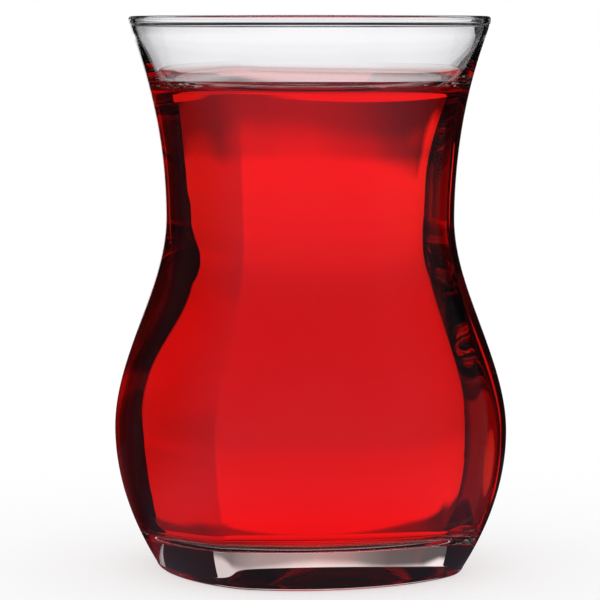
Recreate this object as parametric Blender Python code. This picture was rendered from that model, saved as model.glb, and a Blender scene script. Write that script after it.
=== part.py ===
"""A waisted tea glass, filled with tea.

The glass is one blown and pressed piece. Its mouth is round with a slightly thicker lip;
below the tea line the plan turns into a cushion: four bowed panels that meet in four soft
upright ridges. The front panel faces 19.8 degrees to the +X side of -Y, and the other
three follow a quarter turn apart. The wall is thin at the neck and grows thicker towards
the foot, which is a thick plate of clear glass.

Metres, +Z up, origin at the centre of the foot's underside.
"""

import math

import bmesh
import bpy
from mathutils import Matrix

MM = 0.001

# ---- outside of the glass, as nominal radii (the radius of a round glass of that girth) ----
HEIGHT = 84.0 * MM
FOOT_R = 22.25 * MM          # flat that touches the table
FOOT_EDGE = 0.7 * MM         # rounding between the flat and the wall
BELLY_R, BELLY_Z = 29.88 * MM, 21.3 * MM
BELLY_CURVE = 0.0149 / MM    # how fast the belly draws in towards the foot
WAIST_R, WAIST_Z = 21.95 * MM, 53.5 * MM
FLARE_CURVE = 0.0063 / MM    # how fast the neck opens towards the mouth
TUCK_Z = 81.4 * MM           # from here up the flare straightens again
TUCK_CURVE = 0.07 / MM

# ---- cushion plan: each panel is a circular arc, flatter than the round glass ----
PANELS = 4
TURN = math.radians(19.8)    # how far the panels are turned about +Z from facing the axes
PANEL_OFFSET = 0.271         # how far the arc's centre lies behind the axis, in panel radii
ROUND_TO_CUSHION = 1.015     # nominal radius over the radius at the middle of a panel
CUSHION_FULL_Z = 60.0 * MM   # full cushion up to here
CUSHION_GONE_Z = 79.0 * MM   # round from here up
RIDGE_SOFT_OUT = 0.05        # rounding of the ridges, in radians of plan angle
RIDGE_SOFT_IN = 0.20
INNER_CUSHION = 0.75         # the cavity follows the panels a little less

# ---- wall, lip and floor ----
NECK_WALL, NECK_Z = 0.75 * MM, 81.0 * MM     # wall thickness above NECK_Z
BODY_WALL, BODY_Z = 2.40 * MM, 64.0 * MM     # wall thickness at BODY_Z
BASE_WALL, BASE_Z = 4.8 * MM, 12.0 * MM      # wall thickness at BASE_Z
BELLY_WALL_Z = 40.0 * MM                     # the wall thickens towards the base from here down
LIP_OUT = 0.12 * MM                          # how far the lip stands out of the wall, outside
LIP_IN = 0.12 * MM                           # and inside
LIP_FOOT_Z, LIP_FULL_Z = 82.60 * MM, 82.95 * MM
LIP_ROUND = 0.5 * MM                         # height of the rounding over the lip's top
LIP_Z = HEIGHT - LIP_ROUND
WALL_TOP = 82.5 * MM
FLOOR_Z = 6.6 * MM
FLOOR_TURN = 3.0 * MM        # height of the turn from floor to wall

# ---- tea ----
TEA_Z = 72.8 * MM            # level of the flat surface
MENISCUS = 1.75 * MM         # climb at the wall
MENISCUS_REACH = 1.2 * MM
GAP = 0.32 * MM

# ---- fineness ----
SEGMENTS = 48
LIP_STEPS = 6
TURN_STEPS = 5


def clamp(t):
    return max(0.0, min(1.0, t))


def ease(t):
    t = clamp(t)
    return t * t * (3.0 - 2.0 * t)


def outer_radius(z):
    """Nominal outer radius: belly parabola, S-curve to the waist, flare to the mouth."""
    if z <= BELLY_Z:
        return BELLY_R - BELLY_CURVE * (BELLY_Z - z) ** 2
    if z <= WAIST_Z:
        return BELLY_R + (WAIST_R - BELLY_R) * ease((z - BELLY_Z) / (WAIST_Z - BELLY_Z))
    tuck = max(0.0, z - TUCK_Z)
    return WAIST_R + FLARE_CURVE * (z - WAIST_Z) ** 2 - TUCK_CURVE * tuck ** 2


def wall(z):
    """Wall thickness: thin neck, thicker body, thickest at the base."""
    thick = NECK_WALL + (BODY_WALL - NECK_WALL) * ease((NECK_Z - z) / (NECK_Z - BODY_Z))
    return thick + (BASE_WALL - BODY_WALL) * ease((BELLY_WALL_Z - z) / (BELLY_WALL_Z - BASE_Z))


def inner_radius(z):
    return outer_radius(z) - wall(z)


def cushion(z):
    return ease((CUSHION_GONE_Z - z) / (CUSHION_GONE_Z - CUSHION_FULL_Z))


def plan_factor(phi, amount, soft):
    """Radius over nominal radius in direction phi from a panel's middle: 1 on a round plan."""
    half = math.pi / PANELS
    off_ridge = abs((phi % (2 * half)) - half)
    off_ridge = math.sqrt(off_ridge ** 2 + soft ** 2)
    off_middle = max(0.0, half - off_ridge)
    e = PANEL_OFFSET
    arc = -e * math.cos(off_middle) + math.sqrt((1 + e) ** 2 - (e * math.sin(off_middle)) ** 2)
    return 1.0 + amount * (arc / ROUND_TO_CUSHION - 1.0)


def place(verts, radius, z, amount, soft):
    for v in verts:
        phi = math.atan2(v.co.y, v.co.x)
        r = radius * plan_factor(phi, amount, soft)
        v.co = (r * math.cos(phi), r * math.sin(phi), z)


def loft(name, sections):
    """A closed body through rings given as (radius, z, cushion amount, ridge softness)."""
    bm = bmesh.new()
    verts = bmesh.ops.create_circle(bm, cap_ends=False, radius=1.0, segments=SEGMENTS)["verts"]
    place(verts, *sections[0])
    edges = list(bm.edges)
    bmesh.ops.contextual_create(bm, geom=edges)
    for section in sections[1:]:
        grown = bmesh.ops.extrude_edge_only(bm, edges=edges)["geom"]
        place([g for g in grown if isinstance(g, bmesh.types.BMVert)], *section)
        edges = [g for g in grown if isinstance(g, bmesh.types.BMEdge) and g.is_boundary]
    bmesh.ops.contextual_create(bm, geom=edges)
    bmesh.ops.rotate(bm, verts=bm.verts, cent=(0, 0, 0), matrix=Matrix.Rotation(TURN, 3, "Z"))
    bmesh.ops.recalc_face_normals(bm, faces=bm.faces)
    mesh = bpy.data.meshes.new(name)
    bm.to_mesh(mesh)
    bm.free()
    mesh.shade_smooth()
    mesh.set_sharp_from_angle(angle=math.radians(50))
    obj = bpy.data.objects.new(name, mesh)
    bpy.context.scene.collection.objects.link(obj)
    return obj


def steps(low, high, count):
    return [low + (high - low) * i / count for i in range(count + 1)]


def outside():
    """Foot flat, its rounded edge, then the wall up to the lip."""
    rings = [(FOOT_R, 0.0)]
    rings.append((FOOT_R + 0.72 * (outer_radius(FOOT_EDGE) - FOOT_R), 0.28 * FOOT_EDGE))
    heights = steps(FOOT_EDGE, BELLY_Z, 6)[:-1] + steps(BELLY_Z, WAIST_Z, 9)[:-1]
    heights += steps(WAIST_Z, WALL_TOP, 11)
    rings += [(outer_radius(z), z) for z in heights]
    return rings


def lip():
    """The thicker lip, from the outer wall over its rounded top to the inner wall."""
    def share(z):
        return ease((z - LIP_FOOT_Z) / (LIP_FULL_Z - LIP_FOOT_Z))

    heights = [LIP_FOOT_Z, (LIP_FOOT_Z + LIP_FULL_Z) / 2, LIP_FULL_Z, LIP_Z]
    out_side = [(outer_radius(z) + LIP_OUT * share(z), z) for z in heights]
    in_side = [(inner_radius(z) - LIP_IN * share(z), z) for z in heights]
    middle = (out_side[-1][0] + in_side[-1][0]) / 2
    half = (out_side[-1][0] - in_side[-1][0]) / 2
    top = []
    for i in range(1, LIP_STEPS):
        a = math.pi * i / LIP_STEPS
        top.append((middle + half * math.cos(a), LIP_Z + LIP_ROUND * math.sin(a)))
    return out_side + top + in_side[::-1]


def cavity():
    """Inside wall from the lip down, the turn at the bottom, and the floor's edge."""
    turn_top = FLOOR_Z + FLOOR_TURN
    heights = steps(turn_top, BELLY_Z, 2)[:-1] + steps(BELLY_Z, WAIST_Z, 9)[:-1]
    heights += steps(WAIST_Z, WALL_TOP, 10)
    rings = [(inner_radius(z), z) for z in reversed(heights)]
    start = inner_radius(turn_top)
    for i in range(1, TURN_STEPS + 1):
        a = math.pi / 2 * i / TURN_STEPS
        rings.append((start - 1.25 * FLOOR_TURN * (1 - math.cos(a)), turn_top - FLOOR_TURN * math.sin(a)))
    return rings


def inset(rings, gap):
    """The same profile moved inwards by gap along its own normal."""
    moved = []
    for i, (r, z) in enumerate(rings):
        r0, z0 = rings[max(0, i - 1)]
        r1, z1 = rings[min(len(rings) - 1, i + 1)]
        length = math.hypot(r1 - r0, z1 - z0)
        # the profile runs downwards, with the tea on the side of the axis
        moved.append((r + gap * (z1 - z0) / length, z - gap * (r1 - r0) / length))
    return moved


def glass():
    sections = [(r, z, cushion(z), RIDGE_SOFT_OUT) for r, z in outside()]
    sections += [(r, z, 0.0, RIDGE_SOFT_OUT) for r, z in lip()]
    sections += [(r, z, INNER_CUSHION * cushion(z), RIDGE_SOFT_IN) for r, z in cavity()]
    return loft("glass", sections)


def tea():
    wall_line = [(r, z) for r, z in inset(cavity(), GAP) if z < TEA_Z + 0.3 * MENISCUS]
    edge_z = TEA_Z + MENISCUS
    edge_r = inner_radius(edge_z) - GAP * 1.03
    rings = list(reversed(wall_line)) + [(edge_r, edge_z)]
    for d in (0.25, 0.7, 1.5, 3.0):
        reach = d * MENISCUS_REACH
        rings.append((edge_r - reach, TEA_Z + MENISCUS * math.exp(-d)))
    rings.append((edge_r - 5.5 * MENISCUS_REACH, TEA_Z))
    return loft("tea", [(r, z, INNER_CUSHION * cushion(z), RIDGE_SOFT_IN) for r, z in rings])


def material(name, colour, roughness, ior, transmission):
    mat = bpy.data.materials.new(name)
    mat.use_nodes = True
    shader = mat.node_tree.nodes["Principled BSDF"]
    shader.inputs["Base Color"].default_value = (*colour, 1.0)
    shader.inputs["Roughness"].default_value = roughness
    shader.inputs["Metallic"].default_value = 0.0
    shader.inputs["IOR"].default_value = ior
    shader.inputs["Transmission Weight"].default_value = transmission
    return mat


for old in list(bpy.data.objects):
    bpy.data.objects.remove(old, do_unlink=True)

glass().data.materials.append(material("clear_glass", (0.96, 0.97, 0.97), 0.0, 1.5, 1.0))
tea().data.materials.append(material("red_tea", (0.75, 0.02, 0.02), 0.0, 1.333, 1.0))
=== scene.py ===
import math

import bmesh
import bpy
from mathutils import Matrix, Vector


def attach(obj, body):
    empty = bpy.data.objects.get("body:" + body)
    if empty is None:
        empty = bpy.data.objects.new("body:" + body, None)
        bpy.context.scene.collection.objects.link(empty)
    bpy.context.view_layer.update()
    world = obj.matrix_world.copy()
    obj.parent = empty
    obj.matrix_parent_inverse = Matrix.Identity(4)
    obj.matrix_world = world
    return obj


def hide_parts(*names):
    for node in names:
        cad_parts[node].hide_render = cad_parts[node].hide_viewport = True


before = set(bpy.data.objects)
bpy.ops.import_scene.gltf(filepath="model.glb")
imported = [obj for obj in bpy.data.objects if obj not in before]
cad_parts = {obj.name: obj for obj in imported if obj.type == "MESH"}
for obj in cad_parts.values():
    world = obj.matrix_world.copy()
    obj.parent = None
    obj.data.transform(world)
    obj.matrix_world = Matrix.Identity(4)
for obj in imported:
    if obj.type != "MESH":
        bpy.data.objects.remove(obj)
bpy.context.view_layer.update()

MM = 0.001
scene = bpy.context.scene

# ------------------------------------------------------------------ sizes, as in the CAD
HEIGHT = 84.0 * MM
FOOT_R = 22.25 * MM
FOOT_EDGE = 0.7 * MM
BELLY_R, BELLY_Z = 29.88 * MM, 21.3 * MM
BELLY_CURVE = 0.0149 / MM
WAIST_R, WAIST_Z = 21.95 * MM, 53.5 * MM
FLARE_CURVE = 0.0063 / MM
TUCK_Z = 81.4 * MM
TUCK_CURVE = 0.07 / MM

PANELS = 4
TURN = math.radians(19.8)
PANEL_OFFSET = 0.271
ROUND_TO_CUSHION = 1.015
CUSHION_FULL_Z = 60.0 * MM
CUSHION_GONE_Z = 79.0 * MM
RIDGE_SOFT_OUT = 0.05
RIDGE_SOFT_IN = 0.20
INNER_CUSHION = 0.75

LIP_OUT = 0.12 * MM            # how far the thicker lip stands out of the wall's outer line
LIP_IN = 0.12 * MM             # and of its inner line
LIP_FOOT_Z, LIP_FULL_Z = 82.60 * MM, 82.95 * MM    # the wall thickens to the lip between these
LIP_ROUND = 0.5 * MM           # height of the rounding over its top
NECK_WALL, NECK_Z = 0.75 * MM, 81.0 * MM
BODY_WALL, BODY_Z = 2.40 * MM, 64.0 * MM
BASE_WALL, BASE_Z, BELLY_WALL_Z = 4.8 * MM, 12.0 * MM, 40.0 * MM
LIP_Z = HEIGHT - LIP_ROUND
WALL_TOP = 82.5 * MM
FLOOR_Z = 6.6 * MM
FLOOR_TURN = 3.0 * MM

TEA_Z = 72.8 * MM
MENISCUS = 1.75 * MM
MENISCUS_REACH = 1.2 * MM
TEA_EDGE_Z = TEA_Z + MENISCUS
SHEET_GAP = 0.02 * MM        # the tea's body ends this far under its surface
INTO_WALL = 0.05 * MM        # how far the tea reaches into the glass

CAMERA_D = 456.5 * MM
CAMERA_Z = 81.3 * MM
CAMERA_F = 3000.0 / 600.0         # focal length over the sensor's width
CAMERA_PITCH = math.atan(266.0 / 3000.0)
CAMERA_AIM = math.atan(9.6 / 3000.0)   # the glass stands a little right of the middle


# ------------------------------------------------------------------ shape
def ease(t):
    t = max(0.0, min(1.0, t))
    return t * t * (3.0 - 2.0 * t)


def outer_radius(z):
    if z <= BELLY_Z:
        return BELLY_R - BELLY_CURVE * (BELLY_Z - z) ** 2
    if z <= WAIST_Z:
        return BELLY_R + (WAIST_R - BELLY_R) * ease((z - BELLY_Z) / (WAIST_Z - BELLY_Z))
    tuck = max(0.0, z - TUCK_Z)
    return WAIST_R + FLARE_CURVE * (z - WAIST_Z) ** 2 - TUCK_CURVE * tuck ** 2


def wall(z):
    thick = NECK_WALL + (BODY_WALL - NECK_WALL) * ease((NECK_Z - z) / (NECK_Z - BODY_Z))
    return thick + (BASE_WALL - BODY_WALL) * ease((BELLY_WALL_Z - z) / (BELLY_WALL_Z - BASE_Z))


def inner_radius(z):
    return outer_radius(z) - wall(z)


def cushion(z):
    return ease((CUSHION_GONE_Z - z) / (CUSHION_GONE_Z - CUSHION_FULL_Z))


def plan_factor(phi, amount, soft):
    half = math.pi / PANELS
    off_ridge = abs(((phi - TURN) % (2 * half)) - half)
    off_ridge = math.sqrt(off_ridge ** 2 + soft ** 2)
    off_middle = max(0.0, half - off_ridge)
    e = PANEL_OFFSET
    arc = -e * math.cos(off_middle) + math.sqrt((1 + e) ** 2 - (e * math.sin(off_middle)) ** 2)
    return 1.0 + amount * (arc / ROUND_TO_CUSHION - 1.0)


def plan_angles(per_panel):
    """Directions round the axis, closer together near the ridges."""
    half = math.pi / PANELS
    angles = []
    for k in range(PANELS):
        for i in range(per_panel):
            u = -1.0 + 2.0 * i / per_panel
            angles.append(TURN + 2 * half * k + half * (1.36 * u - 0.36 * u ** 3))
    return angles


def steps(low, high, count):
    return [low + (high - low) * i / count for i in range(count + 1)]


def loft(name, sections, per_panel):
    """A closed mesh through rings (radius, z, cushion amount, ridge softness), with a point at each end."""
    angles = plan_angles(per_panel)
    n = len(angles)
    verts = [(0.0, 0.0, sections[0][1])]
    for radius, z, amount, soft in sections:
        for a in angles:
            r = radius * plan_factor(a, amount, soft)
            verts.append((r * math.cos(a), r * math.sin(a), z))
    verts.append((0.0, 0.0, sections[-1][1]))
    last = len(verts) - 1
    faces = [(0, 1 + (i + 1) % n, 1 + i) for i in range(n)]
    for s in range(len(sections) - 1):
        low, high = 1 + s * n, 1 + (s + 1) * n
        for i in range(n):
            j = (i + 1) % n
            faces.append((low + i, low + j, high + j, high + i))
    top = 1 + (len(sections) - 1) * n
    faces += [(top + i, top + (i + 1) % n, last) for i in range(n)]
    mesh = bpy.data.meshes.new(name)
    mesh.from_pydata(verts, [], faces)
    mesh.update()
    mesh.shade_smooth()
    obj = bpy.data.objects.new(name, mesh)
    scene.collection.objects.link(obj)
    return obj


def inward(radius, z, shares):
    """Rings that carry a flat face from near its edge to its middle."""
    return [(radius * s, z) for s in shares]


def glass_sections():
    foot_r1 = outer_radius(FOOT_EDGE)
    out = inward(FOOT_R, 0.0, (0.2, 0.5, 0.8, 0.95, 0.99, 1.0))
    for i in range(1, 6):                                # rounded foot edge
        a = math.pi / 2 * i / 6
        out.append((FOOT_R + (foot_r1 - FOOT_R) * math.sin(a), FOOT_EDGE * (1 - math.cos(a))))
    heights = steps(FOOT_EDGE, BELLY_Z, 36)[:-1] + steps(BELLY_Z, WAIST_Z, 54)[:-1] + steps(WAIST_Z, WALL_TOP, 50)
    out += [(outer_radius(z), z) for z in heights]
    sections = [(r, z, cushion(z), RIDGE_SOFT_OUT) for r, z in out]
    sections += [(r, z, 0.0, RIDGE_SOFT_OUT) for r, z in lip()]
    sections += [(r, z, INNER_CUSHION * cushion(z), RIDGE_SOFT_IN) for r, z in cavity()]
    return sections


def lip():
    """Rings round the lip, from the outer wall over the rounded top to the inner wall."""
    def outer(z):
        return outer_radius(z) + LIP_OUT * ease((z - LIP_FOOT_Z) / (LIP_FULL_Z - LIP_FOOT_Z))

    def inner(z):
        return inner_radius(z) - LIP_IN * ease((z - LIP_FOOT_Z) / (LIP_FULL_Z - LIP_FOOT_Z))

    heights = steps(WALL_TOP, LIP_FULL_Z, 12)[1:] + steps(LIP_FULL_Z, LIP_Z, 4)[1:]
    rings = [(outer(z), z) for z in heights]
    middle, half = (outer(LIP_Z) + inner(LIP_Z)) / 2, (outer(LIP_Z) - inner(LIP_Z)) / 2
    for a in steps(0.0, math.pi, 16)[1:-1]:
        rings.append((middle + half * math.cos(a), LIP_Z + LIP_ROUND * math.sin(a)))
    return rings + [(inner(z), z) for z in reversed(heights)]


def cavity():
    turn_top = FLOOR_Z + FLOOR_TURN
    heights = steps(turn_top, BELLY_Z, 14)[:-1] + steps(BELLY_Z, WAIST_Z, 50)[:-1]
    heights += steps(WAIST_Z, TEA_EDGE_Z, 34)[:-1] + steps(TEA_EDGE_Z, WALL_TOP, 14)
    rings = [(inner_radius(z), z) for z in reversed(heights)]
    start = inner_radius(turn_top)
    for i in range(1, 15):
        a = math.pi / 2 * i / 14
        rings.append((start - 1.25 * FLOOR_TURN * (1 - math.cos(a)), turn_top - FLOOR_TURN * math.sin(a)))
    edge_r, edge_z = rings[-1]
    rings += inward(edge_r, edge_z, (0.97, 0.9, 0.75, 0.5, 0.2))
    return rings


def outset(rings, gap):
    moved = []
    for i, (r, z) in enumerate(rings):
        r0, z0 = rings[max(0, i - 1)]
        r1, z1 = rings[min(len(rings) - 1, i + 1)]
        length = math.hypot(r1 - r0, z1 - z0)
        moved.append((r - gap * (z1 - z0) / length, z + gap * (r1 - r0) / length))
    return moved


def surface_rings():
    """The tea's free surface from the contact line on the wall to the middle."""
    edge_r = inner_radius(TEA_EDGE_Z)
    rings = [(edge_r + INTO_WALL, TEA_EDGE_Z)]
    for i in range(1, 40):
        reach = 6.0 * (i / 39.0) ** 1.6 * MENISCUS_REACH
        rings.append((edge_r - reach, TEA_Z + MENISCUS * math.exp(-reach / MENISCUS_REACH)))
    last_r = rings[-1][0]
    return rings + [(last_r * s, TEA_Z) for s in (0.9, 0.7, 0.4, 0.15)]


def on_cushion(rings):
    return [(r, z, INNER_CUSHION * cushion(z), RIDGE_SOFT_IN) for r, z in rings]


def tea_sections():
    wall_line = [(r, z) for r, z in outset(cavity(), INTO_WALL) if z < TEA_EDGE_Z - 0.2 * MM]
    under = [(r, z - SHEET_GAP) for r, z in surface_rings()]
    return on_cushion(list(reversed(wall_line)) + under)


def sheet(name, sections, per_panel):
    """An open surface through rings, with a point in its middle, facing up."""
    closed = loft(name, sections, per_panel)
    mesh = closed.data
    bm = bmesh.new()
    bm.from_mesh(mesh)
    bm.verts.ensure_lookup_table()
    bmesh.ops.delete(bm, geom=[bm.verts[0]], context="VERTS")
    bm.to_mesh(mesh)
    bm.free()
    mesh.shade_smooth()
    return closed


glass = loft("glass_look", glass_sections(), 60)
tea = loft("tea_look", tea_sections(), 60)
surface = sheet("tea_surface", on_cushion(surface_rings()), 60)


# ------------------------------------------------------------------ materials
def clear(name, ior, colour=(1.0, 1.0, 1.0)):
    mat = bpy.data.materials.new(name)
    mat.use_nodes = True
    shader = mat.node_tree.nodes["Principled BSDF"]
    shader.inputs["Base Color"].default_value = (*colour, 1.0)
    shader.inputs["Roughness"].default_value = 0.0
    shader.inputs["IOR"].default_value = ior
    shader.inputs["Transmission Weight"].default_value = 1.0
    return mat


glass_mat = clear("clear_glass_look", 1.5, (0.993, 0.988, 1.0))
wetted_mat = clear("wetted_glass_look", 1.5 / 1.333)      # glass where tea touches it
surface_mat = clear("tea_surface_look", 1.333)
tea_mat = clear("red_tea_look", 1.0)
absorb = tea_mat.node_tree.nodes.new("ShaderNodeVolumeAbsorption")
absorb.inputs["Color"].default_value = (0.985, 0.20, 0.05, 1.0)
absorb.inputs["Density"].default_value = 200.0
tea_mat.node_tree.links.new(absorb.outputs["Volume"], tea_mat.node_tree.nodes["Material Output"].inputs["Volume"])

glass.data.materials.append(glass_mat)
glass.data.materials.append(wetted_mat)
tea.data.materials.append(tea_mat)
surface.data.materials.append(surface_mat)

ring = 4 * 60                                             # vertices in one ring of the glass
rings_outside = len(glass_sections()) - len(cavity())     # rings before the cavity starts
for face in glass.data.polygons:
    first = (min(face.vertices) - 1) // ring              # lower ring of this face along the loft
    if first >= rings_outside and face.center.z < TEA_EDGE_Z - 1e-7:
        face.material_index = 1

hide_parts("glass")
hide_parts("tea")
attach(glass, "root")
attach(tea, "root")
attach(surface, "root")


# ------------------------------------------------------------------ studio
floor_mesh = bpy.data.meshes.new("floor")
rim = [(2.6 * math.cos(2 * math.pi * i / 96), 2.6 * math.sin(2 * math.pi * i / 96), -0.00005) for i in range(96)]
floor_mesh.from_pydata(rim, [], [tuple(range(96))])
floor = bpy.data.objects.new("floor", floor_mesh)
scene.collection.objects.link(floor)
# Pale to the camera; to every other ray the floor glows with painted light and painted shade
floor_mat = bpy.data.materials.new("pale_floor_painted_light_and_shade")
floor_mat.use_nodes = True
floor_mesh.materials.append(floor_mat)


class Nodes:
    """Small helpers for one node tree."""

    def __init__(self, tree):
        self.tree, self.nodes, self.links = tree, tree.nodes, tree.links

    def put(self, socket, value):
        if isinstance(value, (int, float)):
            socket.default_value = value
        else:
            self.links.new(value, socket)

    def math(self, op, *values):
        node = self.nodes.new("ShaderNodeMath")
        node.operation = op
        for i, value in enumerate(values):
            self.put(node.inputs[i], value)
        return node.outputs[0]

    def fade(self, value, low, high, at_low, at_high, kind="SMOOTHSTEP"):
        node = self.nodes.new("ShaderNodeMapRange")
        node.interpolation_type = kind
        for key, v in (("Value", value), ("From Min", low), ("From Max", high), ("To Min", at_low), ("To Max", at_high)):
            self.put(node.inputs[key], v)
        return node.outputs["Result"]

    def mix(self, factor, a, b):
        node = self.nodes.new("ShaderNodeMix")
        for key, v in (("Factor", factor), ("A", a), ("B", b)):
            self.put(node.inputs[key], v)
        return node.outputs["Result"]

    def split(self, vector):
        node = self.nodes.new("ShaderNodeSeparateXYZ")
        self.links.new(vector, node.inputs[0])
        return node.outputs


def unseen(obj):
    """Studio gear: it shows only through the glass and in its reflections."""
    obj.visible_camera = False
    obj.visible_diffuse = False
    obj.visible_shadow = False


def panel(name, corners, material):
    mesh = bpy.data.meshes.new(name)
    mesh.from_pydata(corners, [], [tuple(range(len(corners)))])
    mesh.materials.append(material)
    obj = bpy.data.objects.new(name, mesh)
    scene.collection.objects.link(obj)
    unseen(obj)


def glowing(name):
    """A material that only gives light, with the nodes to shape it by place."""
    mat = bpy.data.materials.new(name)
    mat.use_nodes = True
    nodes = Nodes(mat.node_tree)
    nodes.nodes.remove(nodes.nodes["Principled BSDF"])
    light = nodes.nodes.new("ShaderNodeEmission")
    nodes.links.new(light.outputs[0], nodes.nodes["Material Output"].inputs["Surface"])
    place = nodes.nodes.new("ShaderNodeTexCoord")
    return mat, nodes, light, nodes.split(place.outputs["Object"])


# The light is a low white panel BACK_Y behind the glass, seen through the gap between two
# black flags FLAG_Y behind it. To the sides and in front the room is grey.
BACK_Y, BACK_END, BACK_TOP = 600.0 * MM, 400.0 * MM, 190.0 * MM
FLAG_Y, FLAG_TOP = 100.0 * MM, 170.0 * MM
FLAG_RIGHT = ((36.0, 0.0), (34.0, 5.0), (33.0, 12.0), (34.0, 20.0), (37.5, 28.0), (41.0, 40.0), (41.0, 52.0),
              (44.0, 58.0), (44.0, 74.0), (42.0, 79.0), (40.0, 84.0))    # x, z of the edge towards the gap
FLAG_LEFT = ((-38.0, 0.0), (-36.0, 8.0), (-39.0, 18.0), (-43.0, 28.0), (-46.0, 43.0), (-45.0, 52.0), (-47.0, 58.0),
             (-50.0, 64.0), (-58.0, 69.0))
FLAG_END = 112.0
SHADE_RIGHT = (-0.0196, 0.56)                                 # x = a + b * y, the edges of the flags' shade, painted on the floor
SHADE_LEFT = (0.030, -0.69)
ROOM, CORNER, FRONT, BLACK = 0.65, 0.20, 0.55, 0.005
SOFTBOX = 2.0
MIRRORED, MIRRORED_TINT = 0.27, (0.95, 0.98, 1.35)
DIFFUSE_LIGHT = 1.08

black_mat, b, light, _ = glowing("black_flag")
light.inputs["Color"].default_value = (BLACK, BLACK, BLACK, 1.0)
for name, edge, end in (("flag_right", FLAG_RIGHT, FLAG_END), ("flag_left", FLAG_LEFT, -FLAG_END)):
    outline = [(x * MM, FLAG_Y, z * MM) for x, z in edge] + [(edge[-1][0] * MM, FLAG_Y, FLAG_TOP)]
    panel(name, outline + [(end * MM, FLAG_Y, FLAG_TOP), (end * MM, FLAG_Y, 0.0)], black_mat)

back_mat, b, light, (x, y, z) = glowing("back_panel")
arch = b.fade(x, -0.320, -0.250, 0.102, 0.079, "LINEAR")      # height at which the panel has faded by half
above = b.fade(x, -0.250, -0.145, 0.12, 0.15, "LINEAR")       # and its light above that
for low, high, rise, gain in ((-0.145, -0.110, 0.004, 0.07), (-0.110, -0.077, 0.008, 0.08), (-0.077, -0.050, 0.0025, 0.08),
                              (-0.050, 0.0, 0.005, 0.09), (0.0, 0.036, -0.002, 0.0), (0.036, 0.072, -0.0055, -0.04),
                              (0.072, 0.120, -0.0045, -0.03), (0.120, 0.195, 0.0045, -0.17), (0.195, 0.245, 0.020, 0.01),
                              (0.245, 0.320, 0.017, 0.0)):
    arch = b.math("ADD", arch, b.fade(x, low, high, 0.0, rise, "LINEAR"))
    above = b.math("ADD", above, b.fade(x, low, high, 0.0, gain, "LINEAR"))
level = b.math("ADD", b.fade(z, 0.0, 0.030, 0.95, 1.01), b.fade(z, 0.038, 0.062, 0.0, 0.06))
level = b.math("MULTIPLY", level, b.fade(x, 0.112, 0.135, 1.0, 0.70))
above = b.fade(z, 0.165, 0.188, above, BLACK)
level = b.fade(b.math("SUBTRACT", z, arch), -0.013, 0.013, level, above)
b.links.new(level, light.inputs["Color"])
panel("back_panel", [(-BACK_END, BACK_Y, 0.0), (BACK_END, BACK_Y, 0.0), (BACK_END, BACK_Y, BACK_TOP), (-BACK_END, BACK_Y, BACK_TOP)],
      back_mat)

degrees = 180.0 / math.pi


def sector(nodes, off):
    """Light of the room by the angle `off` from straight behind the glass."""
    side = nodes.fade(off, 44.0, 54.0, BLACK, ROOM)
    side = nodes.fade(off, 110.0, 126.0, side, CORNER)
    return nodes.fade(off, 144.0, 160.0, side, FRONT)


def mirrored(nodes, off):
    """The even light that the outside of the glass reflects, from the sides round to the front."""
    return nodes.fade(off, 70.0, 130.0, 0.014, MIRRORED)


def tinted(nodes, paths, level, seen, camera_level=None):
    """A colour: `level` for light through the glass, the faintly blue `seen` for light reflected off it."""
    colour = nodes.nodes.new("ShaderNodeCombineColor")
    for i, tint in enumerate(MIRRORED_TINT):
        channel = nodes.mix(paths.outputs["Is Reflection Ray"], level, nodes.math("MULTIPLY", seen, tint))
        if camera_level is not None:
            channel = nodes.mix(paths.outputs["Is Diffuse Ray"], channel, DIFFUSE_LIGHT)
            channel = nodes.mix(paths.outputs["Is Camera Ray"], channel, camera_level)
        nodes.links.new(channel, colour.inputs[i])
    return colour.outputs[0]


world = bpy.data.worlds.new("studio")
scene.world = world
world.use_nodes = True
world.cycles.sampling_method = "NONE"
w = Nodes(world.node_tree)
coords = w.nodes.new("ShaderNodeTexCoord")
x, y, z = w.split(coords.outputs["Generated"])
off = w.math("MULTIPLY", w.math("ARCTAN2", w.math("ABSOLUTE", x), y), degrees)
el = w.math("MULTIPLY", w.math("ARCSINE", z), degrees)
room = w.math("MULTIPLY", sector(w, off), w.fade(el, 12.0, 30.0, 1.0, 0.35))
room = w.fade(el, 56.0, 64.0, room, SOFTBOX)
seen = w.math("MULTIPLY", mirrored(w, off), w.fade(el, 12.0, 50.0, 1.0, 0.6))
seen = w.fade(el, 56.0, 64.0, seen, SOFTBOX)
paths = w.nodes.new("ShaderNodeLightPath")
background = w.nodes["Background"]
w.links.new(tinted(w, paths, room, seen, 1.0), background.inputs["Color"])
background.inputs["Strength"].default_value = 1.0

# To rays other than the camera's the floor is an emission set by place: painted light, with the shade of the flags
# and of the glass painted on it, not cast
f = Nodes(floor_mat.node_tree)
place = f.nodes.new("ShaderNodeTexCoord")
x, y, z = f.split(place.outputs["Object"])
radius = f.math("SQRT", f.math("ADD", f.math("MULTIPLY", x, x), f.math("MULTIPLY", y, y)))
# Painted light on the floor: dimmer near the glass, painted shade, rising to brighter farther out
lit = f.fade(radius, 0.104, 0.118, 0.74, 0.72)
lit = f.fade(radius, 0.132, 0.205, lit, 0.87)
lit = f.fade(radius, 0.205, 0.400, lit, 0.95)
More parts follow.
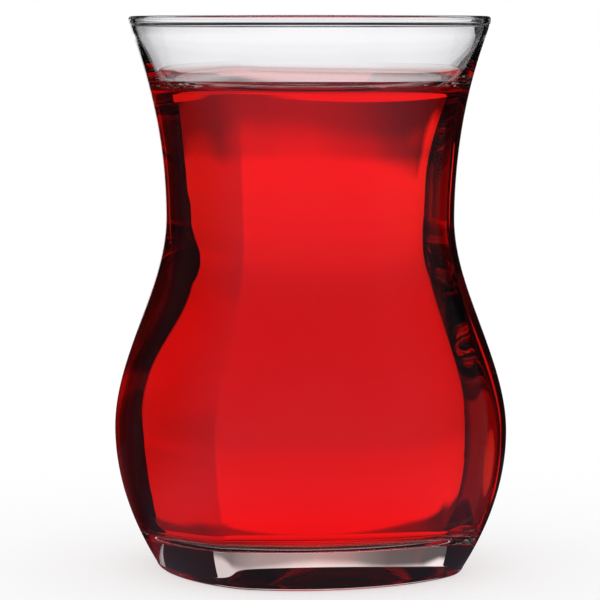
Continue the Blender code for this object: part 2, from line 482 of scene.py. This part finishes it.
# Painted shade: past a slanting line behind the glass the floor's glow is scaled by dim, a touch brighter close to
# the glass and darker farther out
past = f.math("SUBTRACT", x, f.math("MULTIPLY_ADD", y, 0.222, -0.013))
dim = f.fade(radius, 0.084, 0.100, 1.05, 0.90)
dim = f.fade(radius, 0.102, 0.118, dim, f.fade(past, 0.003, 0.035, 0.74, 0.93))
dim = f.fade(radius, 0.160, 0.210, dim, 0.70)
lit = f.math("MULTIPLY", lit, f.fade(past, -0.002, 0.003, 1.0, dim))
# Painted shadow of the flags: outside the gap between these two lines the floor takes the darker around level
right = f.math("MULTIPLY_ADD", f.math("MAXIMUM", f.math("SUBTRACT", y, 0.150), 0.0), 0.09, SHADE_RIGHT[0])
right = f.math("SUBTRACT", f.math("MULTIPLY_ADD", y, SHADE_RIGHT[1], right), x)
left = f.math("SUBTRACT", x, f.math("MULTIPLY_ADD", y, SHADE_LEFT[1], SHADE_LEFT[0]))
gap = f.math("MULTIPLY", f.fade(right, -0.001, 0.001, 0.0, 1.0), f.fade(left, -0.0015, 0.0015, 0.0, 1.0))
off = f.math("MULTIPLY", f.math("ARCTAN2", f.math("ABSOLUTE", x), y), degrees)
around = sector(f, off)
around = f.fade(radius, 0.130, 0.170, f.fade(off, 44.0, 54.0, BLACK, ROOM), around)   # near the glass only the flags' shade is painted on it
# painted shade round the glass's foot: 0.05 within 45 mm of the axis
around = f.fade(radius, 0.045, 0.080, 0.05, around)
# painted shadow of the flags: behind the glass, outside the gap, the floor is black
around = f.mix(f.fade(off, 40.0, 46.0, 1.0, 0.0), around, BLACK)
lit = f.mix(gap, around, lit)
# painted shadow under the glass's foot
lit = f.fade(radius, 0.0225, 0.0235, 0.40, lit)
kind = f.nodes.new("ShaderNodeLightPath")
floor_light = f.nodes.new("ShaderNodeEmission")
# the floor's light as the glass reflects it, with painted shade near the foot
seen = f.math("MULTIPLY", mirrored(f, off), f.fade(radius, 0.024, 0.060, 0.4, 1.0))
f.links.new(tinted(f, kind, lit, seen), floor_light.inputs["Color"])
pale = f.nodes["Principled BSDF"]
pale.inputs["Base Color"].default_value = (0.95, 0.95, 0.95, 1.0)
pale.inputs["Roughness"].default_value = 0.9
pale.inputs["Specular IOR Level"].default_value = 0.0
# painted light: the floor glows white, lightening the glass's shade on it
painted_glow = f.nodes.new("ShaderNodeEmission")
painted_glow.inputs["Color"].default_value = (1.0, 1.0, 1.0, 1.0)
soft = f.nodes.new("ShaderNodeMixShader")                     # pale floor: 0.6 of it a white glow, painted light that leaves 0.4 of the glass's shade
soft.inputs["Fac"].default_value = 0.6
f.links.new(pale.outputs[0], soft.inputs[1])
f.links.new(painted_glow.outputs[0], soft.inputs[2])
both = f.nodes.new("ShaderNodeMixShader")
f.links.new(kind.outputs["Is Camera Ray"], both.inputs["Fac"])
f.links.new(floor_light.outputs[0], both.inputs[1])
f.links.new(soft.outputs[0], both.inputs[2])
f.links.new(both.outputs[0], f.nodes["Material Output"].inputs["Surface"])

# ------------------------------------------------------------------ camera
camera_data = bpy.data.cameras.new("camera")
camera_data.sensor_width = 36.0
camera_data.lens = 36.0 * CAMERA_F
camera = bpy.data.objects.new("camera", camera_data)
scene.collection.objects.link(camera)
camera.location = (0.0, -CAMERA_D, CAMERA_Z)
ahead = Vector((-math.sin(CAMERA_AIM), math.cos(CAMERA_AIM), -math.tan(CAMERA_PITCH)))
camera.rotation_mode = "QUATERNION"
camera.rotation_quaternion = ahead.to_track_quat("-Z", "Y")
camera_data.clip_start, camera_data.clip_end = 0.01, 20.0
scene.camera = camera

scene.view_settings.view_transform = "Standard"
scene.cycles.max_bounces = 32
scene.cycles.transmission_bounces = 32
scene.cycles.glossy_bounces = 16
scene.cycles.diffuse_bounces = 3
scene.cycles.transparent_max_bounces = 32
scene.cycles.sample_clamp_indirect = 6.0
